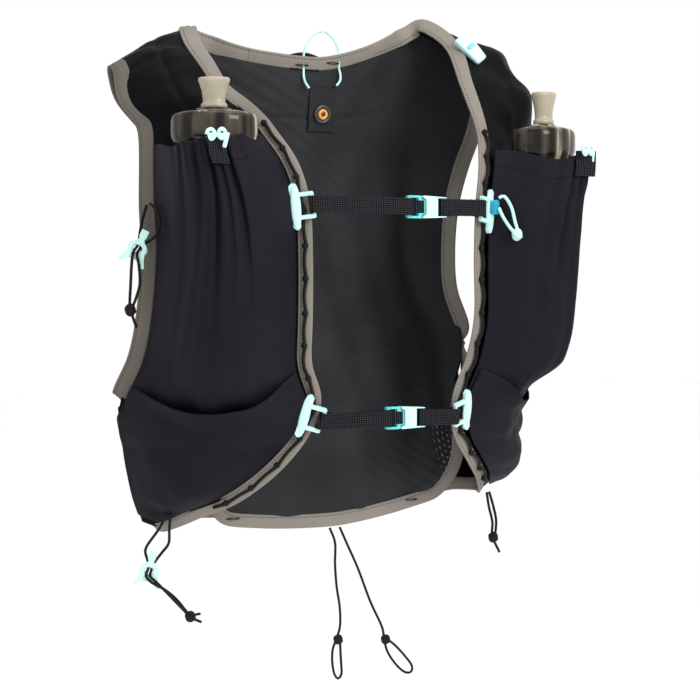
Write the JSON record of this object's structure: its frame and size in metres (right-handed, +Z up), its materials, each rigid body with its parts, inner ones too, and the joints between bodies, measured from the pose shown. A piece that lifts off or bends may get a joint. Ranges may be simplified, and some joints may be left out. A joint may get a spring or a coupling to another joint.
{
  "type": "running hydration vest",
  "caption": "Close-fitting mesh running vest with stretch chest pockets holding soft flasks, rail-mounted sternum straps with side-release buckles, bound edges and elastic side cords.",
  "frame": {"origin": "middle of the neck edge at the nape, where the vest hangs on the wearer", "axes": "+Z up, the wearer faces -Y, +X to the wearer's left"},
  "size_m": [0.3922, 0.1822, 0.5318],
  "materials": {
    "body_mesh": "matte",
    "pocket_cloth": "matte",
    "binding_tape": "matte",
    "elastic_cord": "matte",
    "webbing": "matte",
    "mint_plastic": "satin",
    "teal_plastic": "satin",
    "blue_plastic": "satin",
    "mint_cord": "matte",
    "smoke_flask": "gloss",
    "valve_silicone": "satin",
    "port_rubber": "satin"
  },
  "bodies": {
    "root": {"back_panel": "body_mesh", "back_pouch": "pocket_cloth", "side_wing_right": "body_mesh", "side_wing_left": "body_mesh", "front_panel_right": "body_mesh", "front_panel_left": "body_mesh", "bottle_pocket_right": "pocket_cloth", "bottle_pocket_left": "pocket_cloth", "lower_pocket_right": "pocket_cloth", "lower_pocket_left": "pocket_cloth", "neck_binding": "binding_tape", "hem_binding": "binding_tape", "front_binding_right": "binding_tape", "front_binding_left": "binding_tape", "armhole_binding_right": "binding_tape", "armhole_binding_left": "binding_tape", "rail_cord_right": "elastic_cord", "rail_cord_left": "elastic_cord", "slider_upper_right": "mint_plastic", "slider_upper_left": "mint_plastic", "slider_lower_right": "mint_plastic", "slider_lower_left": "mint_plastic", "strap_upper_right": "webbing", "strap_upper_left": "webbing", "strap_lower_right": "webbing", "strap_lower_left": "webbing", "buckle_plug_upper": "teal_plastic", "buckle_plug_lower": "teal_plastic", "buckle_socket_upper": "mint_plastic", "buckle_socket_lower": "mint_plastic", "flask_right": "smoke_flask", "flask_left": "smoke_flask", "bite_valve_right": "valve_silicone", "bite_valve_left": "valve_silicone", "pocket_clip_right": "mint_plastic", "pocket_clip_left": "mint_plastic", "pocket_tab_right": "webbing", "pocket_tab_left": "webbing", "pocket_cord_right": "elastic_cord", "pocket_cord_left": "elastic_cord", "whistle": "mint_plastic", "neck_tab": "webbing", "hang_loop": "mint_cord", "port_patch": "body_mesh", "port_ring": "port_rubber", "pull_cord": "mint_cord", "pull_toggle": "blue_plastic", "side_hook_upper_right": "mint_plastic", "side_hook_upper_left": "mint_plastic", "side_hook_lower_right": "mint_plastic", "side_cord_upper_right": "elastic_cord", "side_cord_upper_left": "elastic_cord", "side_cord_lower_right": "elastic_cord", "side_cord_lower_left": "elastic_cord", "hem_cord_right": "elastic_cord", "hem_cord_left": "elastic_cord"}
  },
  "joints": []
}
